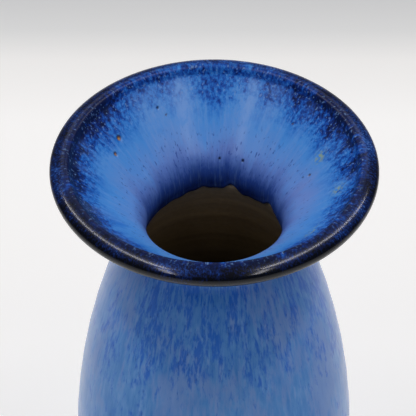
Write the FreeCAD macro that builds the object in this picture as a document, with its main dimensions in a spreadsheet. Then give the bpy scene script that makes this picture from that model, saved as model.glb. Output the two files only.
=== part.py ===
import FreeCAD, Part

import math
import os

import Sketcher
from FreeCAD import Placement, Rotation, Vector

# Flower vase: one wheel-thrown stoneware pot and the four coats of glaze fused to it.
# Millimetres, +Z up, origin at the centre of the foot, on the surface that the vase stands on.
# Everything is turned about +Z. One half-section of the clay serves all five pieces: the pot revolves the
# whole of it, and each coat thickens the stretch that it covers and revolves that, so the two share a face.

SIZES = {
    "foot_radius": 37.0,  # outside of the turned foot ring, above its bevel
    "foot_ring_width": 6.5,  # from the bevel's outside to the ring's inside
    "foot_bevel": 1.5,
    "foot_recess": 3.5,  # hollow turned under the floor
    "floor_height": 10.0,
    "floor_curve": 24.0,  # where the wall turns into the floor
    "belly_radius": 54.2,
    "belly_height": 84.0,
    "shoulder_curve": 309.5,  # long curve from the belly to the neck
    "wall": 6.0,
    "neck_curve": 8.0,  # hollow outside the neck
    "neck_height": 203.0,
    "flare_slope": 42.0,  # underside of the funnel, degrees above level
    "throat_radius": 25.9,
    "throat_curve": 14.7,
    "funnel_slope": 42.5,  # degrees above level
    "lip_radius": 59.2,
    "lip_height": 231.6,  # where the lip is widest
    "lip_roll": 4.0,  # round underside of the lip
    "lip_nose": 1.0,  # its outer edge
    "lip_crown": 7.9,  # across its top
    "lip_bead": 0.8,  # its inner edge
    "lip_width": 5.9,
    "lip_top": 234.4,
    "body_coat": 0.5,  # thickness of each coat
    "rim_coat": 0.8,
    "mouth_coat": 0.6,
    "liner_coat": 0.3,
    "body_coat_start": 9.0,  # height of the body coat's edge, above the bare foot
    "rim_coat_start": 50.0,  # radius of the rim coat's edge, under the funnel
    "rim_coat_end": 233.1,  # height of the rim coat's edge, inside the lip
    "mouth_coat_end": 195.5,  # height of the mouth coat's edge, inside the neck
}

# Each coat covers the clay from one named curve of its outline to another, and its offset is positive to the
# left of its line. The line runs as its first curve was drawn. The liner's first curve is an arc that the
# outline follows backwards, so its line runs up the wall, and the other lines run with the outline.
COATS = {
    "outer_glaze": ("lower_body", "flare", "-Sheet.body_coat"),
    "rim_glaze": ("flare_edge", "lip_inside", "-Sheet.rim_coat"),
    "mouth_glaze": ("lip_corner", "neck_inside", "-Sheet.mouth_coat"),
    "liner_glaze": ("upper_inside", "floor", "Sheet.liner_coat"),
}

START, END, CENTRE = 1, 2, 3  # the points of a sketched line or arc
ORIGIN = -1
SMALLEST_OVERLAP = 0.01  # cubic millimetres


def polar(centre, radius, degrees):
    """The point at that distance and direction from a centre."""
    angle = math.radians(degrees)
    return centre + Vector(radius * math.cos(angle), radius * math.sin(angle))


def beside(centre, distance, height):
    """The point to the right of a centre, at that distance from it and at that height."""
    return Vector(centre.x + math.sqrt(distance**2 - (height - centre.y) ** 2), height)


def above(centre, distance, across):
    """The point above a centre, at that distance from it and that far from the axis."""
    return Vector(across, centre.y + math.sqrt(distance**2 - (across - centre.x) ** 2))


def along(start, target, distance):
    """The point at that distance from start, on the line towards target."""
    return start + (target - start).normalize() * distance


def on_slope(point, degrees, across):
    """The point of a sloping line that far from the axis."""
    return Vector(across, point.y + (across - point.x) * math.tan(math.radians(degrees)))


def slope_to_circle(point, degrees, centre, radius):
    """Where a sloping line from a point first meets a circle."""
    direction = polar(Vector(), 1, degrees)
    nearest = (centre - point).dot(direction)
    miss = (point + direction * nearest - centre).Length
    return point + direction * (nearest - math.sqrt(radius**2 - miss**2))


class Outline:
    """Lines and arcs drawn end to end in a sketch, each with a name."""

    def __init__(self, sketch, start):
        self.sketch = sketch
        self.corner = start
        self.names = []
        self.tails = []

    def number(self, name):
        return self.names.index(name)

    def rule(self, kind, *where):
        return self.sketch.addConstraint(Sketcher.Constraint(kind, *where))

    def draw(self, name, geometry, head, tail, smooth):
        number = self.sketch.addGeometry(geometry, False)
        if self.names:
            kind = "Tangent" if smooth else "Coincident"
            self.rule(kind, number - 1, self.tails[-1], number, head)
        self.names.append(name)
        self.tails.append(tail)

    def line(self, name, end, smooth=False):
        self.draw(name, Part.LineSegment(self.corner, end), START, END, smooth)
        self.corner = end

    def arc(self, name, centre, end, smooth=True, clockwise=False):
        circle = Part.Circle(centre, Vector(0, 0, 1), (end - centre).Length)
        first, second = (end, self.corner) if clockwise else (self.corner, end)
        head, tail = (END, START) if clockwise else (START, END)
        arc = Part.ArcOfCircle(circle, circle.parameter(first), circle.parameter(second))
        self.draw(name, arc, head, tail, smooth)
        self.corner = end

    def close(self):
        self.rule("Coincident", len(self.names) - 1, self.tails[-1], 0, START)

    def same_centre(self, name, other):
        self.rule("Coincident", self.number(name), CENTRE, self.number(other), CENTRE)

    def level_with_centre(self, name):
        """An arc ends level with its centre, so it leaves upright there."""
        number = self.number(name)
        self.rule("Horizontal", number, CENTRE, number, self.tails[number])

    def size(self, title, formula, kind, *where):
        """A dimension that takes its value from the sheet."""
        value = self.sketch.evalExpression(formula)
        if kind == "Angle":
            value = math.radians(value)
        constraint = self.rule(kind, *where, value)
        self.sketch.renameConstraint(constraint, title)
        self.sketch.setExpression("Constraints." + title, formula)

    def radius(self, name, formula):
        self.size(name + "_radius", formula, "Radius", self.number(name))

    def slope(self, name, formula):
        self.size(name + "_slope", formula, "Angle", self.number(name))

    def centre_across(self, name, formula):
        self.size(name + "_centre_across", formula, "DistanceX", ORIGIN, START, self.number(name), CENTRE)

    def centre_up(self, name, formula):
        self.size(name + "_centre_up", formula, "DistanceY", ORIGIN, START, self.number(name), CENTRE)

    def end_across(self, name, formula):
        number = self.number(name)
        self.size(name + "_end_across", formula, "DistanceX", ORIGIN, START, number, self.tails[number])

    def end_up(self, name, formula):
        number = self.number(name)
        self.size(name + "_end_up", formula, "DistanceY", ORIGIN, START, number, self.tails[number])


def upper_circle_centre(sheet):
    """Centre of the long curve above the belly."""
    return Vector(sheet.belly_radius - sheet.shoulder_curve, sheet.belly_height)


def lower_circle(sheet):
    """Centre and radius of the curve from the top of the foot's bevel to the belly."""
    inset = sheet.belly_radius - sheet.foot_radius
    rise = sheet.belly_height - sheet.foot_bevel
    radius = (inset**2 + rise**2) / (2 * inset)
    return Vector(sheet.belly_radius - radius, sheet.belly_height), radius


def draw_outside(outline, sheet):
    """Up the outside of the clay, from the top of the foot's bevel to the lip's underside."""
    lower_centre, lower_radius = lower_circle(sheet)
    upper_centre = upper_circle_centre(sheet)
    neck_centre = beside(upper_centre, sheet.shoulder_curve + sheet.neck_curve, sheet.neck_height)
    neck_top = polar(neck_centre, sheet.neck_curve, 90 + sheet.flare_slope)
    lip_centre = Vector(sheet.lip_radius - sheet.lip_roll, sheet.lip_height)
    flare_top = slope_to_circle(neck_top, sheet.flare_slope, lip_centre, sheet.lip_roll)

    outline.arc("bare_body", lower_centre, beside(lower_centre, lower_radius, sheet.body_coat_start))
    outline.arc("lower_body", lower_centre, Vector(sheet.belly_radius, sheet.belly_height), smooth=False)
    outline.arc("upper_body", upper_centre, along(upper_centre, neck_centre, sheet.shoulder_curve))
    outline.arc("neck", neck_centre, neck_top, clockwise=True)
    outline.line("flare", on_slope(neck_top, sheet.flare_slope, sheet.rim_coat_start), smooth=True)
    outline.line("flare_edge", flare_top, smooth=True)

    outline.end_up("bare_body", "Sheet.body_coat_start")
    outline.same_centre("lower_body", "bare_body")
    outline.end_across("lower_body", "Sheet.belly_radius")
    outline.end_up("lower_body", "Sheet.belly_height")
    outline.level_with_centre("lower_body")
    outline.radius("upper_body", "Sheet.shoulder_curve")
    outline.radius("neck", "Sheet.neck_curve")
    outline.centre_up("neck", "Sheet.neck_height")
    outline.slope("flare", "Sheet.flare_slope")
    outline.end_across("flare", "Sheet.rim_coat_start")


def draw_lip(outline, sheet):
    """Round the rolled lip, from its underside over its top and down its inner edge."""
    widest = Vector(sheet.lip_radius, sheet.lip_height)
    inner_edge = sheet.lip_radius - sheet.lip_width
    roll_centre = widest - Vector(sheet.lip_roll, 0)
    nose_centre = widest - Vector(sheet.lip_nose, 0)
    crown_height = sheet.lip_top - sheet.lip_crown
    crown_reach = math.sqrt((sheet.lip_crown - sheet.lip_nose) ** 2 - (nose_centre.y - crown_height) ** 2)
    crown_centre = Vector(nose_centre.x - crown_reach, crown_height)
    bead_centre = above(crown_centre, sheet.lip_crown - sheet.lip_bead, inner_edge + sheet.lip_bead)

    outline.arc("lip_roll", roll_centre, widest, smooth=False)
    outline.arc("lip_nose", nose_centre, along(crown_centre, nose_centre, sheet.lip_crown))
    outline.arc("lip_crown", crown_centre, along(crown_centre, bead_centre, sheet.lip_crown))
    outline.arc("lip_bead", bead_centre, bead_centre - Vector(sheet.lip_bead, 0))
    outline.line("lip_inside", Vector(inner_edge, sheet.rim_coat_end), smooth=True)

    outline.radius("lip_roll", "Sheet.lip_roll")
    outline.end_across("lip_roll", "Sheet.lip_radius")
    outline.end_up("lip_roll", "Sheet.lip_height")
    outline.level_with_centre("lip_roll")
    outline.radius("lip_nose", "Sheet.lip_nose")
    outline.radius("lip_crown", "Sheet.lip_crown")
    outline.centre_up("lip_crown", "Sheet.lip_top - Sheet.lip_crown")
    outline.radius("lip_bead", "Sheet.lip_bead")
    outline.centre_across("lip_bead", "Sheet.lip_radius - Sheet.lip_width + Sheet.lip_bead")
    outline.rule("Vertical", outline.number("lip_inside"))
    outline.end_up("lip_inside", "Sheet.rim_coat_end")


def draw_inside(outline, sheet):
    """Down the funnel, through the throat, and down the inside of the wall to the middle of the floor."""
    lower_centre, lower_radius = lower_circle(sheet)
    lower_radius -= sheet.wall
    upper_centre = upper_circle_centre(sheet)
    upper_radius = sheet.shoulder_curve - sheet.wall
    throat_across = sheet.throat_radius + sheet.throat_curve
    throat_centre = above(upper_centre, upper_radius + sheet.throat_curve, throat_across)
    throat_top = polar(throat_centre, sheet.throat_curve, 90 + sheet.funnel_slope)
    floor_centre_height = sheet.floor_height + sheet.floor_curve
    floor_centre = beside(lower_centre, lower_radius - sheet.floor_curve, floor_centre_height)
    belly_inside = Vector(sheet.belly_radius - sheet.wall, sheet.belly_height)
    coat_edge = beside(upper_centre, upper_radius, sheet.mouth_coat_end)
    floor_edge = along(lower_centre, floor_centre, lower_radius)

    outline.line("lip_corner", on_slope(throat_top, sheet.funnel_slope, outline.corner.x), smooth=True)
    outline.line("funnel", throat_top)
    outline.arc("throat", throat_centre, along(upper_centre, throat_centre, upper_radius))
    outline.arc("neck_inside", upper_centre, coat_edge, clockwise=True)
    outline.arc("upper_inside", upper_centre, belly_inside, smooth=False, clockwise=True)
    outline.arc("lower_inside", lower_centre, floor_edge, smooth=False, clockwise=True)
    outline.arc("floor_curve", floor_centre, Vector(floor_centre.x, sheet.floor_height), clockwise=True)
    outline.line("floor", Vector(0, sheet.floor_height), smooth=True)

    outline.slope("funnel", "Sheet.funnel_slope - 180")
    outline.radius("throat", "Sheet.throat_curve")
    outline.centre_across("throat", "Sheet.throat_radius + Sheet.throat_curve")
    outline.end_up("neck_inside", "Sheet.mouth_coat_end")
    outline.same_centre("neck_inside", "upper_body")
    outline.same_centre("upper_inside", "upper_body")
    outline.end_across("upper_inside", "Sheet.belly_radius - Sheet.wall")
    outline.level_with_centre("upper_inside")
    outline.same_centre("lower_inside", "lower_body")
    outline.radius("floor_curve", "Sheet.floor_curve")
    outline.rule("Horizontal", outline.number("floor"))
    outline.end_up("floor", "Sheet.floor_height")
    outline.end_across("floor", "0")


def draw_foot(outline, sheet):
    """Down the axis, out under the floor and round the foot ring to the top of its bevel."""
    ring_inside = sheet.foot_radius - sheet.foot_ring_width
    outline.line("axis", Vector(0, sheet.foot_recess))
    outline.line("underside", Vector(ring_inside, sheet.foot_recess))
    outline.line("ring_inside", Vector(ring_inside, 0))
    outline.line("ring", Vector(sheet.foot_radius - sheet.foot_bevel, 0))
    outline.line("bevel", Vector(sheet.foot_radius, sheet.foot_bevel))
    outline.close()

    outline.rule("Vertical", outline.number("axis"))
    outline.end_up("axis", "Sheet.foot_recess")
    outline.rule("Horizontal", outline.number("underside"))
    outline.end_across("underside", "Sheet.foot_radius - Sheet.foot_ring_width")
    outline.rule("Vertical", outline.number("ring_inside"))
    outline.end_up("ring_inside", "0")
    outline.rule("Horizontal", outline.number("ring"))
    outline.end_across("ring", "Sheet.foot_radius - Sheet.foot_bevel")
    outline.end_across("bevel", "Sheet.foot_radius")
    outline.end_up("bevel", "Sheet.foot_bevel")


def draw_clay(sketch, sheet):
    """The clay's half-section, split where each coat starts or ends."""
    outline = Outline(sketch, Vector(sheet.foot_radius, sheet.foot_bevel))
    draw_outside(outline, sheet)
    draw_lip(outline, sheet)
    draw_inside(outline, sheet)
    draw_foot(outline, sheet)
    return outline


def make_sheet(document):
    """The driving dimensions, one to a row."""
    sheet = document.addObject("Spreadsheet::Sheet", "Sheet")
    for row, (name, value) in enumerate(SIZES.items(), start=1):
        sheet.set(f"A{row}", name)
        sheet.set(f"B{row}", str(value))
        sheet.setAlias(f"B{row}", name)
    document.recompute()
    return sheet


def make_pot(document, sheet):
    """The clay: its half-section turned about the axis, as it was on the wheel."""
    body = document.addObject("PartDesign::Body", "Pot")
    body.Label = "stoneware_body"
    sketch = body.newObject("Sketcher::SketchObject", "ClaySection")
    plane = next(item for item in body.Origin.OriginFeatures if item.Role == "XZ_Plane")
    sketch.AttachmentSupport = [(plane, "")]
    sketch.MapMode = "FlatFace"
    draw_clay(sketch, sheet)
    document.recompute()
    turned = body.newObject("PartDesign::Revolution", "ThrownClay")
    turned.Profile = sketch
    turned.ReferenceAxis = (sketch, ["V_Axis"])
    turned.Angle = 360
    body.Tip = turned
    return body


def make_coat(document, sheet, label):
    """A coat of glaze: a stretch of the clay's outline, thickened away from the clay and turned."""
    first, last, offset = COATS[label]
    stem = label.title().replace("_", "")
    sketch = document.addObject("Sketcher::SketchObject", stem + "Line")
    sketch.Placement = Placement(Vector(), Rotation(Vector(1, 0, 0), 90))
    outline = draw_clay(sketch, sheet)
    for number in range(len(outline.names)):
        covered = outline.number(first) <= number <= outline.number(last)
        sketch.setConstruction(number, not covered)
    section = document.addObject("Part::Offset2D", stem + "Section")
    section.Source = sketch
    section.Mode = "Skin"
    section.Join = "Intersection"
    section.Fill = True
    section.setExpression("Value", offset)
    coat = document.addObject("Part::Revolution", stem)
    coat.Label = label
    coat.Source = section
    coat.Axis = Vector(0, 0, 1)
    coat.Angle = 360
    coat.Solid = True
    return coat


def check(document, pot, coats):
    """Stop before anything is written if a feature failed, or a piece is not one valid solid of its own."""
    for item in document.Objects:
        if "Invalid" in item.State or "Error" in item.State:
            raise RuntimeError(f"{item.Label} failed: {item.State}")
    for piece in [pot, *coats]:
        shape = piece.Shape
        if shape.isNull() or not shape.isValid() or len(shape.Solids) != 1:
            raise RuntimeError(f"{piece.Label} is not one valid solid")
    for coat in coats:
        shared = coat.Shape.common(pot.Shape).Volume
        if shared > SMALLEST_OVERLAP:
            raise RuntimeError(f"{coat.Label} cuts {shared:.2f} cubic mm into the clay")


def main():
    document = FreeCAD.newDocument("FlowerVase")
    sheet = make_sheet(document)
    pot = make_pot(document, sheet)
    coats = [make_coat(document, sheet, label) for label in COATS]
    document.recompute()
    check(document, pot, coats)

    os.makedirs("parts", exist_ok=True)
    for piece in [pot, *coats]:
        piece.Shape.exportStep(f"parts/{piece.Label}.step")
        box = piece.Shape.optimalBoundingBox()
        volume = piece.Shape.Volume / 1000
        size = f"radius {box.XMax:.2f}, height {box.ZMin:.2f} to {box.ZMax:.2f} mm"
        print(f"{piece.Label}: {volume:.1f} ml, {size}")


main()
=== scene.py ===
import math

import bmesh
import bpy
import numpy as np
from mathutils import Matrix, Vector


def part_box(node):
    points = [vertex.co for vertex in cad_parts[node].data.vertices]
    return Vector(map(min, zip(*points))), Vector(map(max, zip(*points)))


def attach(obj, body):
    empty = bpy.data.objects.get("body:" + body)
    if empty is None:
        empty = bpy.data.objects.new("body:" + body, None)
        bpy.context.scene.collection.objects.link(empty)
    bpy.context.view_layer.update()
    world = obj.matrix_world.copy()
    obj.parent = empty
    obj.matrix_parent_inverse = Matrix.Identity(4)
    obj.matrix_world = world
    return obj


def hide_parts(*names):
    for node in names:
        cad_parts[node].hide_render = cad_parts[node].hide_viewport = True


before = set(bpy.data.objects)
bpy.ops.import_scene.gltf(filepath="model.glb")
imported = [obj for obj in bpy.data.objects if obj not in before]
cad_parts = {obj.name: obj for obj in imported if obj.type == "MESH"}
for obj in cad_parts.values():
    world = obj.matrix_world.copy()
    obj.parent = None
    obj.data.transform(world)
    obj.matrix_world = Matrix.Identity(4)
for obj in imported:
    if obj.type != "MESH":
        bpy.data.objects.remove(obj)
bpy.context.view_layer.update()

# Flower vase: the looks of a thrown stoneware pot and its four coats of glaze, in metres.
# Every coat is a closed skin laid on the clay's outline and turned about +Z. "Flow" is the distance along the
# outline from the middle of the underside: round the foot, up the outside, over the lip, down the funnel and
# down the inside to the middle of the floor. Bearings are degrees about +Z from +X, so the front is at -90.

MM = 0.001
AROUND = 720  # columns of every turned mesh
SINK = 0.15 * MM  # how far a coat's hidden back lies under the clay's surface
BACK_ROWS = 24  # about how many rows a coat's hidden back has
MERGE_DISTANCE = 0.001 * MM  # vertices closer together than this become one

# How thick each coat is.
BODY_COAT = 0.5 * MM
RIM_COAT = 0.8 * MM
MOUTH_COAT = 0.6 * MM
LINER_COAT = 0.3 * MM

# The clay's sizes that the frame's boxes don't give. Slopes and turns are in degrees.
FOOT_RADIUS = 37.0 * MM
FOOT_RING_WIDTH = 6.5 * MM
FOOT_BEVEL = 1.5 * MM
FOOT_RECESS = 3.5 * MM
FLOOR_HEIGHT = 10.0 * MM
FLOOR_CURVE = 24.0 * MM
BELLY_HEIGHT = 84.0 * MM
SHOULDER_CURVE = 309.5 * MM
WALL = 6.0 * MM
NECK_CURVE = 8.0 * MM
NECK_HEIGHT = 203.0 * MM
FLARE_SLOPE = 42.0
THROAT_RADIUS = 25.9 * MM
THROAT_CURVE = 14.7 * MM
FUNNEL_SLOPE = 42.5
LIP_HEIGHT = 231.6 * MM
LIP_ROLL = 4.0 * MM
LIP_NOSE = 1.0 * MM
LIP_CROWN = 7.9 * MM
LIP_BEAD = 0.8 * MM
BEAD_TURN = 150  # the direction from the bead's centre in which its arc ends
LIP_WIDTH = 5.9 * MM
COVE = 1.2 * MM  # how far into the funnel the lip's inner edge runs out

MOUTH_RUN = 50 * MM  # about how far the mouth's glaze runs, from the lip to its ragged edge
# Pinholes in the mouth's glaze: bearing, distance down from the glaze's upper edge, radius, and how much of
# the clay's colour shows at the bottom.
PINHOLES = [
    (145.8, 14.5 * MM, 0.85 * MM, 1.0), (154.4, 17.6 * MM, 0.65 * MM, 0.9), (16.2, 23.0 * MM, 0.4 * MM, 0.8),
    (118.5, 11.8 * MM, 0.4 * MM, 0.0), (115.5, 15.4 * MM, 0.3 * MM, 0.3), (47.5, 13.8 * MM, 0.32 * MM, 0.3),
    (68.0, 34.0 * MM, 0.45 * MM, 0.0), (86.0, 34.5 * MM, 0.4 * MM, 0.0), (18.5, 25.8 * MM, 0.25 * MM, 0.0),
]

BARE_FOOT = 7.6 * MM  # about how far the clay shows, from the foot's bevel up to the outer coat
MARKED_FOOT = 12 * MM  # from the foot's bevel up to where the turning marks stop, behind the coat
MARK_DEPTH = 0.05 * MM
MARK_PITCH = 1.1 * MM
RING_DEPTH = 0.07 * MM  # throwing rings under the liner
RING_PITCH = 1.5 * MM

# The radius of the circle that each pattern is wrapped on. A small one draws the pattern out round the pot.
BODY_GIRTH = 50 * MM
RIM_GIRTH = 57 * MM
FUNNEL_GIRTH = 46 * MM
THROAT_GIRTH = 40 * MM
RINGS_GIRTH = 2 * MM

# Soft strip lamps, the same on both sides: name, the two ends as (across, back), width and radiance.
LAMP_HEIGHT = LIP_HEIGHT + 1.0
LAMPS = [
    ("outer", (1.15, 0.88), (0.56, 0.22), 0.05, 29),
    ("middle", (0.56, 0.22), (0.32, -0.26), 0.05, 27),
    ("front", (0.4, -0.35), (0.46, -0.8), 0.1, 10),
    ("back", (0.75, 1.5), (0.12, 1.5), 0.3, 2.2),
]

BELLY_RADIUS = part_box("outer_glaze")[1].x - BODY_COAT
LIP_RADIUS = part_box("rim_glaze")[1].x - RIM_COAT
LIP_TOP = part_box("rim_glaze")[1].z - RIM_COAT


# ---------------------------------------------------------------- the clay's outline

def point(across, up):
    return np.array([across, up])


def polar(centre, radius, degrees):
    angle = math.radians(degrees)
    return centre + radius * point(math.cos(angle), math.sin(angle))


def beside(centre, distance, height):
    """The point to the right of a centre, at that distance from it and at that height."""
    return point(centre[0] + math.sqrt(distance**2 - (height - centre[1]) ** 2), height)


def above(centre, distance, across):
    """The point above a centre, at that distance from it and that far from the axis."""
    return point(across, centre[1] + math.sqrt(distance**2 - (across - centre[0]) ** 2))


def along(start, target, distance):
    """The point at that distance from start on the way to target."""
    step = target - start
    return start + step * distance / np.linalg.norm(step)


def slope_to_circle(start, degrees, centre, radius):
    """Where a sloping line first meets a circle."""
    direction = polar(point(0, 0), 1, degrees)
    nearest = (centre - start) @ direction
    miss = np.linalg.norm(start + direction * nearest - centre)
    return start + direction * (nearest - math.sqrt(radius**2 - miss**2))


class Outline:
    """The clay's surface in half-section, as closely spaced points with a flow value and a normal each."""

    SPACING = 0.1 * MM
    ROUNDING = 0.35 * MM  # corners are softened over about this length, as fired clay and glaze are

    def __init__(self, start):
        self.runs = [start[None, :]]
        self.ends = {}

    def line(self, name, end):
        start = self.runs[-1][-1]
        count = max(2, round(np.linalg.norm(end - start) / self.SPACING))
        share = np.linspace(0, 1, count + 1)[1:, None]
        self.add(name, start + (end - start) * share)

    def arc(self, name, centre, end):
        """The short way round a centre from the last point to end."""
        start = self.runs[-1][-1] - centre
        stop = end - centre
        first = math.atan2(start[1], start[0])
        turn = (math.atan2(stop[1], stop[0]) - first + math.pi) % (2 * math.pi) - math.pi
        radius = np.linalg.norm(stop)
        count = max(2, round(abs(turn) * radius / self.SPACING))
        angles = first + turn * np.linspace(0, 1, count + 1)[1:]
        self.add(name, centre + radius * np.stack([np.cos(angles), np.sin(angles)], axis=1))

    def add(self, name, points):
        self.runs.append(points)
        self.ends[name] = sum(len(run) for run in self.runs) - 1

    def finish(self):
        """Space the points evenly, soften the corners, and find the normals and the named flow values."""
        points = np.concatenate(self.runs)
        steps = np.linalg.norm(np.diff(points, axis=0), axis=1)
        self.flow = np.concatenate([[0], np.cumsum(steps)])
        self.ends = {name: self.flow[index] for name, index in self.ends.items()}
        even = np.linspace(0, self.flow[-1], round(self.flow[-1] / self.SPACING))
        points = np.stack([np.interp(even, self.flow, points[:, axis]) for axis in (0, 1)], axis=1)
        reach = round(3 * self.ROUNDING / self.SPACING)
        kernel = np.exp(-0.5 * (np.arange(-reach, reach + 1) * self.SPACING / self.ROUNDING) ** 2)
        kernel /= kernel.sum()
        padded = np.pad(points, ((reach, reach), (0, 0)), mode="reflect", reflect_type="odd")
        self.points = np.stack([np.convolve(padded[:, axis], kernel, "valid") for axis in (0, 1)], axis=1)
        tangents = np.gradient(self.points, axis=0)
        tangents /= np.linalg.norm(tangents, axis=1)[:, None]
        self.normals = np.stack([tangents[:, 1], -tangents[:, 0]], axis=1)
        self.flow = even

    def surface(self, flow, height):
        """Distance from the axis and height above the table, of a skin that stands that far off the clay."""
        across, up = (
            np.interp(flow, self.flow, self.points[:, axis])
            + height * np.interp(flow, self.flow, self.normals[:, axis])
            for axis in (0, 1)
        )
        return across, up


def clay_outline():
    """From the middle of the underside, round the foot ring and on to the middle of the inside's floor."""
    ring_inside = FOOT_RADIUS - FOOT_RING_WIDTH
    belly = point(BELLY_RADIUS, BELLY_HEIGHT)
    inset = BELLY_RADIUS - FOOT_RADIUS
    rise = BELLY_HEIGHT - FOOT_BEVEL
    lower_radius = (inset**2 + rise**2) / (2 * inset)
    lower_centre = point(BELLY_RADIUS - lower_radius, BELLY_HEIGHT)
    upper_centre = point(BELLY_RADIUS - SHOULDER_CURVE, BELLY_HEIGHT)
    neck_centre = beside(upper_centre, SHOULDER_CURVE + NECK_CURVE, NECK_HEIGHT)
    neck_top = polar(neck_centre, NECK_CURVE, 90 + FLARE_SLOPE)

    widest = point(LIP_RADIUS, LIP_HEIGHT)
    roll_centre = widest - point(LIP_ROLL, 0)
    nose_centre = widest - point(LIP_NOSE, 0)
    crown_height = LIP_TOP - LIP_CROWN
    crown_reach = math.sqrt((LIP_CROWN - LIP_NOSE) ** 2 - (LIP_HEIGHT - crown_height) ** 2)
    crown_centre = point(nose_centre[0] - crown_reach, crown_height)
    inner_edge = LIP_RADIUS - LIP_WIDTH
    bead_centre = above(crown_centre, LIP_CROWN - LIP_BEAD, inner_edge + LIP_BEAD)

    inside_radius = SHOULDER_CURVE - WALL
    throat_centre = above(upper_centre, inside_radius + THROAT_CURVE, THROAT_RADIUS + THROAT_CURVE)
    throat_top = polar(throat_centre, THROAT_CURVE, 90 + FUNNEL_SLOPE)
    cove = point(inner_edge - COVE, 0)
    cove[1] = throat_top[1] + (cove[0] - throat_top[0]) * math.tan(math.radians(FUNNEL_SLOPE))
    lower_inside = lower_radius - WALL
    floor_centre = beside(lower_centre, lower_inside - FLOOR_CURVE, FLOOR_HEIGHT + FLOOR_CURVE)

    outline = Outline(point(0, FOOT_RECESS))
    outline.line("underside", point(ring_inside, FOOT_RECESS))
    outline.line("ring_inside", point(ring_inside, 0))
    outline.line("ring", point(FOOT_RADIUS - FOOT_BEVEL, 0))
    outline.line("bevel", point(FOOT_RADIUS, FOOT_BEVEL))
    outline.arc("lower_body", lower_centre, belly)
    outline.arc("upper_body", upper_centre, along(upper_centre, neck_centre, SHOULDER_CURVE))
    outline.arc("neck", neck_centre, neck_top)
    outline.line("flare", slope_to_circle(neck_top, FLARE_SLOPE, roll_centre, LIP_ROLL))
    outline.arc("lip_roll", roll_centre, widest)
    outline.arc("lip_nose", nose_centre, along(crown_centre, nose_centre, LIP_CROWN))
    outline.arc("lip_crown", crown_centre, along(crown_centre, bead_centre, LIP_CROWN))
    outline.arc("lip_bead", bead_centre, polar(bead_centre, LIP_BEAD, BEAD_TURN))
    outline.line("lip_inside", cove)
    outline.line("funnel", throat_top)
    outline.arc("throat", throat_centre, along(upper_centre, throat_centre, inside_radius))
    outline.arc("upper_inside", upper_centre, belly - point(WALL, 0))
    outline.arc("lower_inside", lower_centre, along(lower_centre, floor_centre, lower_inside))
    outline.arc("floor_curve", floor_centre, point(floor_centre[0], FLOOR_HEIGHT))
    outline.line("floor", point(0, FLOOR_HEIGHT))
    outline.finish()
    return outline


clay = clay_outline()
SHOULDER_FLOW = clay.ends["upper_body"]
THROAT_FLOW = clay.ends["throat"]
MOUTH_START = clay.ends["lip_bead"] + 0.2 * MM
angles = np.arange(AROUND) * 2 * math.pi / AROUND


# ---------------------------------------------------------------- turned meshes

def ripple(seed, slowest, fastest):
    """A smooth random wave round the pot, between about -1 and 1, with that range of humps to a turn."""
    draws = np.random.default_rng(seed)
    humps = np.arange(slowest, fastest + 1)
    weights = draws.normal(size=len(humps)) / np.sqrt(len(humps))
    phases = draws.uniform(0, 2 * math.pi, len(humps))
    return (weights * np.cos(np.outer(angles, humps) + phases)).sum(axis=1)


def bump_at(degrees, width):
    """One smooth hump round the pot, 1 high at that bearing."""
    away = (np.degrees(angles) - degrees + 180) % 360 - 180
    return np.exp(-0.5 * (away / width) ** 2)


def swell(value, middle, width, power=2):
    """A smooth hump of a value: 1 high at its middle and about a third as high at that width from it."""
    return np.exp(-(np.abs((value - middle) / width) ** power))


def turned_mesh(name, flow, height, wrap, fields):
    """A mesh from rows of flow and height, one column to each angle, closed round the pot.

    wrap joins the last row to the first. fields are more numbers for each vertex, by name.
    """
    across, up = clay.surface(flow, height)
    rows = len(flow)
    places = np.stack([across * np.cos(angles), across * np.sin(angles), up], axis=2).reshape(-1, 3)
    lower = np.arange(rows if wrap else rows - 1)[:, None]
    upper = (lower + 1) % rows
    here = np.arange(AROUND)[None, :]
    following = (here + 1) % AROUND
    corners = [(lower, here), (lower, following), (upper, following), (upper, here)]
    faces = np.stack([row * AROUND + column for row, column in corners], axis=2).reshape(-1, 4)
    mesh = bpy.data.meshes.new(name)
    mesh.from_pydata(places.tolist(), [], faces.tolist())
    for field, values in {"flow": flow, **fields}.items():
        layer = mesh.attributes.new(field, "FLOAT", "POINT")
        layer.data.foreach_set("value", values.astype(np.float32).ravel())
    piece = bpy.data.objects.new(name, mesh)
    bpy.context.scene.collection.objects.link(piece)
    return piece


def tidy_poles(piece):
    """Merge the rows that lie on the axis, and smooth the shading."""
    mesh = bmesh.new()
    mesh.from_mesh(piece.data)
    bmesh.ops.remove_doubles(mesh, verts=mesh.verts, dist=MERGE_DISTANCE)
    bmesh.ops.recalc_face_normals(mesh, faces=mesh.faces)
    mesh.to_mesh(piece.data)
    mesh.free()
    piece.data.shade_smooth()


def edge_height(distance, coat, roll, reach):
    """Thickness of a coat near its free edge: round at the edge, then a thicker roll, then the plain coat."""
    share = np.clip(distance / reach, 0, 1)
    rounded = np.sqrt(1 - (1 - share) ** 2)
    hump = roll * np.exp(-0.5 * ((distance - 1.2 * reach) / reach) ** 2)
    return coat * rounded + hump * rounded


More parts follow.
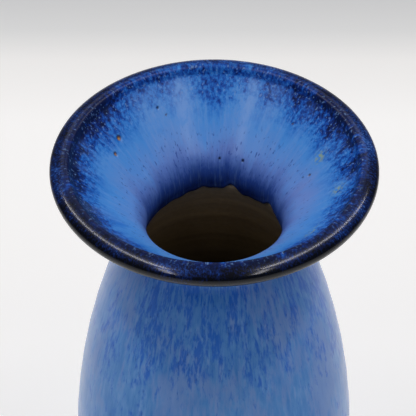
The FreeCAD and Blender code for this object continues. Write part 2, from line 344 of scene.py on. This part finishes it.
def skin(name, start, end, spacing, thickness, fields=None, crowding=1.0):
    """A closed coat from one flow to another, each a number or one for each angle.

    thickness gives the height off the clay from the flow values, the coat's start and its end. fields give
    more numbers for each vertex in the same way. crowding above 1 draws the rows towards the start.
    """
    start = np.broadcast_to(start, AROUND)
    end = np.broadcast_to(end, AROUND)
    rows = round(float((end - start).mean()) / spacing)
    share = np.linspace(0, 1, rows)[:, None] ** crowding
    front = start + (end - start) * share
    back = front[:: -max(1, rows // BACK_ROWS)]
    back = np.concatenate([back, front[:1]]) if back[-1, 0] != front[0, 0] else back
    flow = np.concatenate([front, back])
    height = np.concatenate([thickness(front, start, end), np.full(back.shape, -SINK)])
    values = {field: rule(flow, start, end) for field, rule in (fields or {}).items()}
    piece = turned_mesh(name, flow, height, wrap=True, fields=values)
    tidy_poles(piece)
    return piece


# ---------------------------------------------------------------- node materials

def srgb(red, green, blue):
    """A linear colour from everyday 0 to 255 numbers."""
    shares = [channel / 255 for channel in (red, green, blue)]
    return tuple(s / 12.92 if s <= 0.04045 else ((s + 0.055) / 1.055) ** 2.4 for s in shares) + (1,)


class Paint:
    """A node material under construction, with short calls for the nodes it uses."""

    def __init__(self, name, roughness, coat=0.0, coat_roughness=0.05, specular=0.5):
        self.material = bpy.data.materials.new(name)
        self.material.use_nodes = True
        self.tree = self.material.node_tree
        self.shader = self.tree.nodes["Principled BSDF"]
        self.feed(self.shader.inputs["Roughness"], roughness)
        self.feed(self.shader.inputs["Coat Weight"], coat)
        self.feed(self.shader.inputs["Coat Roughness"], coat_roughness)
        self.feed(self.shader.inputs["Specular IOR Level"], specular)
        self.place = self.node("TexCoord").outputs["Object"]

    def feed(self, socket, value):
        if isinstance(value, bpy.types.NodeSocket):
            self.tree.links.new(value, socket)
        else:
            socket.default_value = value

    def node(self, kind, feeds=None, **settings):
        node = self.tree.nodes.new("ShaderNode" + kind)
        for setting, value in settings.items():
            setattr(node, setting, value)
        for socket, value in (feeds or {}).items():
            self.feed(node.inputs[socket], value)
        return node

    def attribute(self, name):
        return self.node("Attribute", attribute_name=name).outputs["Fac"]

    def math(self, operation, first, second=0.0, clamp=False):
        return self.node("Math", {0: first, 1: second}, operation=operation, use_clamp=clamp).outputs[0]

    def add(self, first, second):
        return self.math("ADD", first, second)

    def times(self, first, second):
        return self.math("MULTIPLY", first, second)

    def centred(self, value):
        """A value that runs from 0 to 1, moved to run from -0.5 to 0.5."""
        return self.math("SUBTRACT", value, 0.5)

    def fade(self, value, low, high, to_low=0.0, to_high=1.0):
        """A smooth step of value from low to high."""
        feeds = {"Value": value, "From Min": low, "From Max": high, "To Min": to_low, "To Max": to_high}
        return self.node("MapRange", feeds, interpolation_type="SMOOTHSTEP").outputs[0]

    def mix(self, share, first, second):
        """A colour that is the first where share is 0 and the second where it is 1."""
        return self.node("Mix", {0: share, 6: first, 7: second}, data_type="RGBA").outputs[2]

    def ramp(self, value, stops):
        """Colours along a value, from a list of (place, colour)."""
        node = self.node("ValToRGB", {0: value})
        elements = node.color_ramp.elements
        while len(elements) < len(stops):
            elements.new(1)
        for element, (place, colour) in zip(elements, stops):
            element.position = place
            element.color = colour
        return node.outputs[0]

    def noise(self, vector, size, detail=2.0, roughness=0.5, distortion=0.0):
        """Noise with humps of about that size in metres, spread to run from about 0 to 1."""
        feeds = {"Vector": vector, "Scale": 0.5 / size, "Detail": detail, "Roughness": roughness,
                 "Distortion": distortion}
        value = self.node("TexNoise", feeds).outputs[0]
        return self.node("MapRange", {"Value": value, "From Min": 0.25, "From Max": 0.75}).outputs[0]

    def runs(self, radius, stretch, shift=0.0):
        """Coordinates that wrap round the pot and are drawn out along the flow. shift moves the pattern."""
        across, back, _ = self.node("SeparateXYZ", {0: self.place}).outputs
        bearing = self.math("ARCTAN2", back, across)
        east = self.times(self.math("COSINE", bearing), radius)
        north = self.times(self.math("SINE", bearing), radius)
        down = self.add(self.times(self.attribute("flow"), 1 / stretch), shift)
        return self.node("CombineXYZ", {0: east, 1: north, 2: down}).outputs[0]

    def bump(self, height, distance, strength):
        feeds = {"Height": height, "Distance": distance, "Strength": strength}
        self.feed(self.shader.inputs["Normal"], self.node("Bump", feeds).outputs[0])

    def colour(self, socket):
        self.feed(self.shader.inputs["Base Color"], socket)


def running_cobalt(paint):
    """The mouth's colours: dark and mottled under the lip, then streaked azure, then lavender, then navy,
    which is partly the glaze's own colour and partly painted shade deep in the throat.

    The rim's inner edge shares them, so that one coat runs into the other. Gives the colour, and a height for
    the bump.
    """
    down = paint.times(paint.attribute("down"), 1 / MOUTH_RUN)
    grain = paint.noise(paint.runs(FUNNEL_GIRTH, 1.4), 0.6 * MM, detail=3, roughness=0.65)
    drawn = paint.runs(FUNNEL_GIRTH, 1.7, 6.0)
    mottle = paint.noise(drawn, 1.7 * MM, detail=3, roughness=0.6, distortion=0.4)
    streak = paint.noise(paint.runs(FUNNEL_GIRTH, 7.0, 3.1), 0.8 * MM, detail=3, roughness=0.6)
    broad = paint.noise(paint.runs(FUNNEL_GIRTH, 2.0, 7.7), 4.5 * MM, detail=3, distortion=0.3)
    under_lip = paint.fade(down, 0.5, 0.12)
    tone = paint.add(paint.add(down, 0.1), paint.attribute("cobalt"))
    for pattern, low, high in ((broad, 0.12, 0.2), (mottle, 0.04, 0.26), (grain, 0.04, 0.36)):
        strength = paint.fade(under_lip, 0, 1, low, high)
        tone = paint.add(tone, paint.times(paint.centred(pattern), strength))
    tone = paint.add(tone, paint.times(paint.centred(streak), 0.08))
    # The navy at the end, deep in the throat, is partly the glaze's own colour and partly painted shade.
    colour = paint.ramp(tone, [
        (0.0, srgb(8, 24, 72)), (0.1, srgb(12, 46, 124)), (0.2, srgb(22, 84, 182)),
        (0.32, srgb(48, 130, 222)), (0.46, srgb(80, 156, 236)), (0.6, srgb(102, 156, 230)),
        (0.7, srgb(100, 134, 208)), (0.82, srgb(44, 78, 156)), (1.0, srgb(16, 36, 92))])
    dust = paint.noise(paint.runs(FUNNEL_GIRTH, 1.4, 9.0), 0.4 * MM, detail=2)
    dust = paint.times(paint.fade(dust, 0.66, 0.92), under_lip)
    colour = paint.mix(paint.times(dust, 0.6), colour, srgb(124, 168, 228))
    pale = paint.times(paint.fade(streak, 0.5, 0.95), paint.fade(down, 0.1, 0.3, 0, 0.25))
    # The pale attribute holds pale runs of glaze with painted reflections of the strip lamps, and in the
    # mouth a painted highlight below each pinhole.
    pale_runs_and_painted_light = paint.times(paint.attribute("pale"), paint.fade(mottle, 0.1, 0.6, 0.3, 1))
    pale = paint.math("ADD", pale, pale_runs_and_painted_light, clamp=True)
    colour = paint.mix(pale, colour, srgb(132, 176, 240))
    fleck = paint.noise(paint.runs(THROAT_GIRTH, 2.2, 1.3), 0.5 * MM, detail=2)
    fleck = paint.times(paint.fade(fleck, 0.72, 0.92), paint.fade(down, 0.34, 0.55))
    colour = paint.mix(paint.times(fleck, 0.65), colour, srgb(22, 66, 156))
    return colour, paint.add(grain, streak)


def mouth_paint():
    """Running cobalt, with a lavender bloom, yellow-green rutile and pinholes, painted shadow and highlight
    at the pinholes, and painted shade in part of the dark lower edge.
    """
    paint = Paint("mouth_glaze_paint", roughness=0.5, coat=0.35, coat_roughness=0.3, specular=0.06)
    colour, height = running_cobalt(paint)
    bloom = paint.noise(paint.runs(THROAT_GIRTH, 5.0, 2.0), 3 * MM, detail=3)
    bloom = paint.times(paint.attribute("bloom"), paint.fade(bloom, 0.1, 0.7, 0.4, 1))
    colour = paint.mix(bloom, colour, srgb(140, 150, 214))
    grain = paint.noise(paint.place, 0.7 * MM, detail=3)
    rutile = paint.times(paint.attribute("rutile"), paint.fade(grain, 0.35, 0.7))
    colour = paint.mix(rutile, colour, srgb(160, 182, 140))
    # The dark lower edge is partly the glaze's own colour and partly painted shade.
    colour = paint.mix(paint.times(paint.attribute("edge"), 0.8), colour, srgb(14, 26, 62))
    # Painted shadow on the wall of each pinhole.
    colour = paint.mix(paint.attribute("hole_shadow"), colour, srgb(10, 18, 48))
    colour = paint.mix(paint.attribute("hole"), colour, srgb(206, 152, 84))
    paint.colour(colour)
    paint.bump(height, distance=0.03 * MM, strength=0.4)
    return paint.material


def rim_paint():
    """Nearly black cobalt with a fine blue speckle, breaking into the mouth's colours at its inner edge, with
    painted light on its top, back and sides, painted shade at the front, and a painted reflection of the
    floor under the lip.
    """
    paint = Paint("rim_glaze_paint", roughness=0.4, specular=0.04)
    run = paint.attribute("run")
    speck = paint.noise(paint.runs(RIM_GIRTH, 1.3), 0.34 * MM, detail=3, roughness=0.7)
    broad = paint.noise(paint.runs(RIM_GIRTH, 1.0, 5.0), 5 * MM)
    # Painted light and shade: the top and tone attributes make the lip's top, back and sides bluer and its
    # front blacker, as light falls on it.
    top = paint.fade(run, 0.56, 0.68)
    tone = paint.add(paint.times(speck, 0.55), paint.times(paint.centred(broad), 0.24))
    tone = paint.add(tone, paint.add(paint.attribute("tone"), paint.times(top, paint.attribute("top"))))
    colour = paint.ramp(tone, [(0.0, srgb(2, 4, 12)), (0.36, srgb(3, 8, 24)), (0.54, srgb(12, 32, 86)),
                               (0.7, srgb(28, 74, 156)), (0.9, srgb(104, 150, 214))])
    # Painted reflection of the floor: a greyish band under the lip's roll.
    under = paint.times(paint.fade(run, 0.4, 0.25), paint.fade(run, 0.1, 0.2))
    colour = paint.mix(paint.times(under, 0.4), colour, srgb(34, 42, 66))
    inward = paint.fade(paint.add(run, paint.times(paint.centred(broad), 0.08)), 0.74, 0.9)
    cobalt, height = running_cobalt(paint)
    paint.colour(paint.mix(inward, colour, cobalt))
    paint.feed(paint.shader.inputs["Coat Weight"], paint.fade(run, 0.76, 1.0, 0.55, 0.35))
    paint.feed(paint.shader.inputs["Coat Roughness"], paint.fade(run, 0.62, 0.95, 0.12, 0.4))
    paint.bump(paint.add(height, speck), distance=0.02 * MM, strength=0.3)
    return paint.material


def body_paint():
    """Steel blue and lavender, under patches of cobalt that ran down the wall in soft streaks."""
    paint = Paint("body_glaze_paint", roughness=0.45, coat_roughness=0.16, specular=0.04)
    facing = paint.node("LayerWeight", {"Blend": 0.5}).outputs["Facing"]
    paint.feed(paint.shader.inputs["Coat Weight"], paint.fade(facing, 0.4, 0.9, 0.35, 0.75))
    paint.feed(paint.shader.inputs["Sheen Weight"], 0.2)
    paint.feed(paint.shader.inputs["Sheen Roughness"], 0.4)
    paint.feed(paint.shader.inputs["Sheen Tint"], srgb(150, 196, 255))
    broad = paint.noise(paint.runs(BODY_GIRTH, 1.6, 2.0), 12 * MM, detail=3, roughness=0.6, distortion=0.4)
    patch = paint.noise(paint.runs(BODY_GIRTH, 2.4, 6.0), 4.0 * MM, detail=3, roughness=0.6, distortion=0.5)
    streak = paint.noise(paint.runs(BODY_GIRTH, 6.0, 2.0), 0.9 * MM, detail=4, roughness=0.65)
    run = paint.noise(paint.runs(BODY_GIRTH, 3.4, 4.0), 0.8 * MM, detail=4, roughness=0.65, distortion=0.3)
    fleck = paint.noise(paint.runs(BODY_GIRTH, 2.4, 9.0), 0.5 * MM, detail=2, roughness=0.6)
    colour = paint.ramp(paint.add(paint.times(streak, 0.5), paint.times(patch, 0.5)), [
        (0.2, srgb(60, 130, 212)), (0.5, srgb(86, 150, 222)), (0.8, srgb(116, 168, 232))])
    bloom = paint.fade(paint.add(broad, paint.times(paint.centred(streak), 0.5)), 0.4, 0.75)
    colour = paint.mix(paint.times(bloom, 0.55), colour, srgb(118, 148, 214))
    high = paint.fade(paint.attribute("flow"), SHOULDER_FLOW - 85 * MM, SHOULDER_FLOW - 25 * MM, -0.12, 0.06)
    cobalt = paint.add(paint.add(run, high), paint.times(paint.centred(patch), 0.7))
    cobalt = paint.add(cobalt, paint.times(paint.centred(broad), -0.4))
    # The cobalt attribute also carries painted light on the body's sides.
    cobalt = paint.fade(paint.add(cobalt, paint.attribute("cobalt")), 0.4, 0.92)
    colour = paint.mix(paint.times(cobalt, 0.9), colour, srgb(10, 102, 212))
    dark = paint.times(paint.fade(fleck, 0.66, 0.95), paint.fade(cobalt, 0.0, 0.6, 0.1, 1.0))
    colour = paint.mix(paint.times(dark, 0.5), colour, srgb(6, 68, 168))
    paint.colour(colour)
    paint.bump(paint.add(streak, fleck), distance=0.03 * MM, strength=0.4)
    return paint.material


def liner_paint():
    """A thin olive-brown coat, a little uneven along the throwing rings, darkened deeper inside the body as
    painted shade.
    """
    paint = Paint("liner_glaze_paint", roughness=0.5, coat=0.3, coat_roughness=0.3)
    ring = paint.noise(paint.runs(RINGS_GIRTH, 1.0), 1.6 * MM, detail=2)
    grain = paint.noise(paint.place, 0.8 * MM, detail=3)
    tone = paint.add(paint.times(ring, 0.6), paint.times(grain, 0.4))
    colour = paint.ramp(tone, [(0.2, srgb(178, 150, 108)), (0.8, srgb(208, 180, 132))])
    # Painted shade: the liner darkens from the throat down into the body, where little light reaches.
    deep = paint.fade(paint.attribute("flow"), THROAT_FLOW - 6 * MM, THROAT_FLOW + 60 * MM, 0, 0.88)
    paint.colour(paint.mix(deep, colour, srgb(54, 46, 26)))
    paint.bump(grain, distance=0.03 * MM, strength=0.4)
    return paint.material


def clay_paint():
    """Bare orange-tan stoneware with fine dark and pale grog."""
    paint = Paint("fired_clay_paint", roughness=0.85)
    grog = paint.noise(paint.place, 0.35 * MM, detail=3, roughness=0.7)
    toast = paint.noise(paint.place, 7 * MM, detail=2)
    colour = paint.ramp(toast, [(0.2, srgb(168, 118, 74)), (0.8, srgb(206, 158, 108))])
    colour = paint.mix(paint.fade(grog, 0.72, 0.9), colour, srgb(96, 62, 40))
    colour = paint.mix(paint.fade(grog, 0.25, 0.1), colour, srgb(226, 196, 156))
    paint.colour(colour)
    paint.bump(grog, distance=0.06 * MM, strength=0.6)
    return paint.material


# ---------------------------------------------------------------- the five pieces

def finish_piece(piece, material, node):
    piece.data.materials.append(material)
    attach(piece, "root")
    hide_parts(node)


def pot_rows(foot_end):
    """Flow values for the clay's rows: close together on the bare foot and wherever the outline bends."""
    bend_between_rows = 17
    foot_spacing, hidden_spacing = 1.2 * MM, 12 * MM
    headings = np.unwrap(np.arctan2(clay.normals[:, 1], clay.normals[:, 0]))
    bends = np.abs(np.degrees(np.diff(headings))) / bend_between_rows
    steps = np.diff(clay.flow) / np.where(clay.flow[1:] < foot_end, foot_spacing, hidden_spacing)
    crowding = np.concatenate([[0], np.cumsum(bends + steps)])
    return np.interp(np.linspace(0, crowding[-1], round(crowding[-1])), crowding, clay.flow)


def make_pot():
    """The clay: one closed pot, seen at its bare foot, with turning marks cut into the foot."""
    foot_end = clay.ends["bevel"] + MARKED_FOOT
    flow = pot_rows(foot_end)[:, None] * np.ones(AROUND)
    marks = MARK_DEPTH * np.sin(flow / MARK_PITCH + 0.6 * np.sin(angles))
    marks = np.where(flow < foot_end, marks, 0)
    marks *= np.clip(flow / (4 * MM), 0, 1)  # none at the middle of the underside, where the columns meet
    margin = 0.3 * MM
    standing = (flow > clay.ends["ring_inside"] - margin) & (flow < clay.ends["ring"] + margin)
    piece = turned_mesh("pot", flow, np.where(standing, 0, marks), wrap=False, fields={})
    tidy_poles(piece)
    finish_piece(piece, clay_paint(), "stoneware_body")


def make_outer_glaze():
    """From a thick wavering roll above the foot, up the body and neck to the lip."""
    start = clay.ends["bevel"] + BARE_FOOT + 0.7 * MM * ripple(3, 2, 9) + 0.25 * MM * ripple(4, 10, 40)
    end = clay.ends["flare"] - 4.0 * MM

    def thickness(flow, first, last):
        coat = edge_height(flow - first, BODY_COAT, roll=0.35 * MM, reach=0.9 * MM)
        return coat + 0.05 * MM * np.sin(flow / (2.3 * MM) + 1.5 * np.sin(angles + flow / (40 * MM)))

    def cobalt(flow, first, last):
        """How much more cobalt than usual: more in two shoulder patches, less below them, and less at the
        sides low down and all down the left, which is painted light on the body's sides.
        """
        up = clay.surface(flow, 0)[1]
        cluster = 0.42 * bump_at(-42, 3.5) * swell(up, 180 * MM, 5 * MM)
        patch = 0.16 * bump_at(-124, 12) * swell(up, 177 * MM, 12 * MM)
        # Painted light: paler glaze low on the front-left and front-right, where the body's sides catch the
        # light.
        sides = 0.22 * bump_at(-128, 13) + 0.14 * bump_at(-50, 12)
        lavender = (0.25 * bump_at(-80, 16) + sides) * swell(up, 148 * MM, 10 * MM)
        # Less cobalt down the left is painted light too.
        return cluster + patch - lavender - 0.1 * bump_at(-155, 18)

    piece = skin("outer_glaze_coat", start, end, 2.1 * MM, thickness, {"cobalt": cobalt}, crowding=1.25)
    finish_piece(piece, body_paint(), "outer_glaze")


def make_rim_glaze():
    """Over the rolled lip."""
    start = clay.ends["flare"] - 5.5 * MM + 0.4 * MM * ripple(5, 2, 12)
    end = clay.ends["lip_inside"] - 0.5 * MM

    def thickness(flow, first, last):
        thin = (RIM_COAT - MOUTH_COAT) * swell(flow, last, 1.2 * MM)
        return edge_height(flow - first, RIM_COAT, roll=0.0, reach=0.8 * MM) - thin

    def run(flow, first, last):
        """0 at the coat's outer edge and 1 at its inner edge."""
        return (flow - first) / (last - first)

    def tone(flow, first, last):
        """Painted light and shade by bearing: bluer at the back and the sides, and blacker at the front, as
        light falls on the lip; the small random part is the glaze's own unevenness.
        """
        bluer = 0.2 * bump_at(90, 42) + 0.15 * bump_at(8, 16) + 0.13 * bump_at(172, 16)
        return (bluer - 0.07 * bump_at(-90, 40) + 0.05 * ripple(21, 3, 14)) * np.ones(flow.shape)

    def top(flow, first, last):
        """Painted light: how much bluer the lip's top is than its outside, most at the front, as the top
        faces up to the lamps.
        """
        bluer = 0.13 + 0.16 * bump_at(-128, 16) + 0.16 * bump_at(-52, 16) + 0.05 * bump_at(-90, 12)
        return bluer * np.ones(flow.shape)

    fields = {"run": run, "tone": tone, "top": top}
    fields.update({"down": mouth_depth, "cobalt": mouth_cobalt, "pale": pale_runs_and_reflections})
    piece = skin("rim_glaze_coat", start, end, 0.25 * MM, thickness, fields)
    finish_piece(piece, rim_paint(), "rim_glaze")


def mouth_edge():
    """How far below the lip's widest height the mouth's glaze ends, at each bearing."""
    reach = 36.2 + 0.5 * ripple(11, 3, 9) + 0.35 * ripple(12, 12, 40)
    tongues = ((180, 28, 4.0), (33, 6, -4.6), (75, 5, -4.2), (90, 8, -2.0), (105, 9, -2.6))
    for bearing, width, longer in tongues:
        reach += longer * bump_at(bearing, width)
    return reach * MM


def flow_at_height(height, first, last):
    """The flow values at which the outline passes those heights, on its way down between two ends."""
    inside = (clay.flow > first) & (clay.flow < last)
    return np.interp(-height, -clay.points[inside, 1], clay.flow[inside])


def mouth_depth(flow, first, last):
    """How far down the mouth from its glaze's upper edge."""
    return np.maximum(flow - MOUTH_START, 0)


def from_hole(bearing, depth, flow):
    """Distance over the funnel's surface from a pinhole, for each vertex."""
    across = np.interp(flow, clay.flow, clay.points[:, 0])
    sideways = across * ((angles - math.radians(bearing) + math.pi) % (2 * math.pi) - math.pi)
    return np.hypot(sideways, flow - MOUTH_START - depth)


def mouth_cobalt(flow, first, last):
    """How much further along the mouth's colours than its depth says: dark patches hang under the lip, and
    the back of the throat is darker, partly the glaze's own colour and partly painted shade.
    """
    down = mouth_depth(flow, first, last)
    under_lip = swell(down, 0, 10 * MM)
    dark = 0.13 * bump_at(35, 9) + 0.19 * bump_at(152, 9) + 0.14 * bump_at(178, 9)
    dark = dark + 0.07 * bump_at(-50, 30) + 0.07 * bump_at(-130, 30)
    dark = dark - 0.07 * bump_at(66, 10) - 0.1 * bump_at(90, 10) - 0.07 * bump_at(115, 12)
    uneven = 0.04 * ripple(31, 4, 16)
    settle = np.clip((MOUTH_RUN - down) / (20 * MM), 0, 1)
    past_lavender = 1 - swell(down, 0, 30 * MM, 4)
    # Past the lavender the colours are held back, least at the back: the back of the throat stays darker,
    # partly the glaze's own colour and partly painted shade.
    lower = past_lavender * (0.14 - 0.1 * bump_at(90, 32))
    return settle * uneven - under_lip * dark - lower - 0.1 * bump_at(-142, 18)


def pale_runs_and_reflections(flow, first, last):
    """Painted reflections of the strip lamps in four streaks about the back, with random pale runs of glaze,
    from under the lip to the throat.
    """
    down = mouth_depth(flow, first, last)
    run = (1 - swell(down, 0, 4 * MM)) * swell(down, 0, 34 * MM, 6)
    # Painted reflections of the strip lamps, in pairs either side of the back.
    where = 0.55 * bump_at(73, 2) + 0.5 * bump_at(106, 3) + 0.25 * bump_at(62, 4) + 0.3 * bump_at(120, 6)
    where = where + 0.12 * np.clip(ripple(33, 6, 30), 0, 1)
    return where * run


def mouth_rutile(flow, first, last):
    """Faint yellow-green where rutile gathers, on the right of the mouth."""
    down = mouth_depth(flow, first, last)
    upper = 0.9 * bump_at(21, 2) * swell(down, 16 * MM, 2.5 * MM)
    middle = 0.8 * bump_at(-8, 2) * swell(down, 11 * MM, 2.5 * MM)
    lower = 0.8 * bump_at(-38, 3) * swell(down, 13 * MM, 2 * MM)
    return upper + middle + lower


def mouth_bloom(flow, first, last):
    """A pinkish lavender bloom low on the right of the mouth."""
    down = mouth_depth(flow, first, last)
    return 0.45 * bump_at(3, 14) * swell(down, 27 * MM, 8 * MM)


def make_mouth_glaze():
    """Down the funnel and through the throat to a thick ragged edge, with a few deep pinholes."""
    end = flow_at_height(LIP_HEIGHT - mouth_edge(), clay.ends["lip_inside"], clay.ends["upper_inside"])

    def thickness(flow, first, last):
        coat = edge_height(last - flow, MOUTH_COAT, roll=0.5 * MM, reach=0.7 * MM)
        for bearing, depth, radius, _ in PINHOLES:
            away = from_hole(bearing, depth, flow) / radius
            pit, raised_edge = swell(away, 0, 1, 4), swell(away, 1.6, 0.5)
            coat = coat - 0.5 * MM * pit + 0.1 * MM * raised_edge
        return coat

    def hole(flow, first, last):
        """Where the clay's colour shows at the bottom of a pinhole."""
        return sum(clay_shows * swell(from_hole(bearing, depth, flow), 0, 0.75 * radius, 4)
                   for bearing, depth, radius, clay_shows in PINHOLES)

    def hole_shadow(flow, first, last):
        """Painted shadow on the wall of each pinhole, showing most on the side nearer the lip."""
        return sum(swell(from_hole(bearing, depth - 0.45 * radius, flow), 0, 1.35 * radius, 4)
                   for bearing, depth, radius, _ in PINHOLES)

    def pale(flow, first, last):
        """The pale runs with the painted lamp reflections, and a painted highlight on the lower side of each
        pinhole.
        """
        # Painted highlight: a pale spot below each pinhole, on the rim that catches the light.
        lower_rim_highlight = sum(0.6 * swell(from_hole(bearing, depth + 1.6 * radius, flow), 0, 0.7 * radius)
                    for bearing, depth, radius, _ in PINHOLES)
        return pale_runs_and_reflections(flow, first, last) + lower_rim_highlight

    def edge(flow, first, last):
        """Dark at the thick lower edge: partly the glaze's own darker glass and partly painted shade."""
        return swell(flow, last, 2.2 * MM)

    fields = {"down": mouth_depth, "cobalt": mouth_cobalt, "pale": pale, "rutile": mouth_rutile,
              "bloom": mouth_bloom, "hole": hole, "hole_shadow": hole_shadow, "edge": edge}
    piece = skin("mouth_glaze_coat", MOUTH_START, end, 0.5 * MM, thickness, fields)
    finish_piece(piece, mouth_paint(), "mouth_glaze")


def make_liner_glaze():
    """Inside the body, over the throwing rings, from behind the mouth's edge to the middle of the floor."""
    start = clay.ends["throat"] - 4 * MM
    end = clay.flow[-1]

    def thickness(flow, first, last):
        ring = np.sin((flow + 0.8 * MM * np.sin(angles)) / RING_PITCH + 2 * np.sin(flow / (17 * MM)))
        return LINER_COAT + RING_DEPTH * ring * np.clip((last - flow) / (20 * MM), 0, 1)

    piece = skin("liner_glaze_coat", start, end, 2.2 * MM, thickness)
    finish_piece(piece, liner_paint(), "liner_glaze")


# ---------------------------------------------------------------- floor, light and camera

def make_floor():
    """A pale level floor that glows with painted light and greys a little way behind the vase."""
    half_width = 3.0
    grey_starts, grey_ends = 0.29, 0.415
    mesh = bpy.data.meshes.new("floor")
    corners = [(half_width * x, half_width * y, 0) for x, y in ((-1, -1), (1, -1), (1, 1), (-1, 1))]
    mesh.from_pydata(corners, [], [(0, 1, 2, 3)])
    floor = bpy.data.objects.new("floor", mesh)
    bpy.context.scene.collection.objects.link(floor)
    paint = Paint("floor_paint", roughness=0.7)
    away = paint.node("SeparateXYZ", {0: paint.place}).outputs[1]
    share = paint.node("MapRange", {"Value": away, "From Min": grey_starts, "From Max": grey_ends}).outputs[0]
    grain = paint.noise(paint.place, 40 * MM)
    colour = paint.ramp(share, [(0.0, (0.86, 0.86, 0.85, 1)), (0.4, (0.77, 0.77, 0.76, 1)),
                                (0.6, (0.62, 0.63, 0.63, 1)), (1.0, (0.48, 0.49, 0.5, 1))])
    colour = paint.mix(paint.times(grain, 0.03), colour, (0.8, 0.8, 0.8, 1))
    paint.colour(colour)
    # Painted light: the floor glows with its own colour, on top of what the lamps give.
    paint.feed(paint.shader.inputs["Emission Color"], colour)
    paint.feed(paint.shader.inputs["Emission Strength"], 0.39)
    mesh.materials.append(paint.material)


def strip_light(name, start, end, width, radiance):
    """A long narrow lamp from one point to another, turned to face the mouth."""
    start, end, mouth = Vector(start), Vector(end), Vector((0, 0, LIP_HEIGHT))
    middle = (start + end) / 2
    along_lamp = (end - start).normalized()
    facing = (middle - mouth).normalized()
    across_lamp = facing.cross(along_lamp).normalized()
    outward = along_lamp.cross(across_lamp)
    light = bpy.data.lights.new(name, "AREA")
    light.shape = "RECTANGLE"
    light.size = (end - start).length
    light.size_y = width
    light.energy = radiance * math.pi * light.size * width
    light.color = (1.0, 0.97, 0.97)
    lamp = bpy.data.objects.new(name, light)
    bpy.context.scene.collection.objects.link(lamp)
    lamp.matrix_world = Matrix((along_lamp, across_lamp, outward)).transposed().to_4x4()
    lamp.location = middle


def make_light():
    """A dim room, and overhead a frame of soft strip lamps on each side of the camera's line of sight."""
    world = bpy.data.worlds.new("studio")
    bpy.context.scene.world = world
    world.use_nodes = True
    background = world.node_tree.nodes["Background"]
    background.inputs["Color"].default_value = (0.98, 0.99, 1.0, 1)
    background.inputs["Strength"].default_value = 0.07
    for side_name, side in (("left", -1), ("right", 1)):
        for name, start, end, width, radiance in LAMPS:
            ends = [(side * across, back, LAMP_HEIGHT) for across, back in (start, end)]
            strip_light(f"{side_name}_{name}_strip", *ends, width, radiance)


def make_camera():
    """Above and in front of the lip, looking down into the mouth and a touch to the left of it."""
    distance, elevation, depression, yaw = 0.9, 42.12, 43.08, 0.197
    data = bpy.data.cameras.new("camera")
    data.sensor_width = 36
    data.lens = 214.1
    data.clip_start = 0.01
    camera = bpy.data.objects.new("camera", data)
    bpy.context.scene.collection.objects.link(camera)
    rise = math.radians(elevation)
    camera.location = (0, -distance * math.cos(rise), LIP_HEIGHT + distance * math.sin(rise))
    camera.rotation_euler = (math.radians(90 - depression), 0, math.radians(yaw))
    bpy.context.scene.camera = camera


make_pot()
make_outer_glaze()
make_rim_glaze()
make_mouth_glaze()
make_liner_glaze()
make_floor()
make_light()
make_camera()
bpy.context.scene.view_settings.view_transform = "Standard"

bpy.context.view_layer.update()
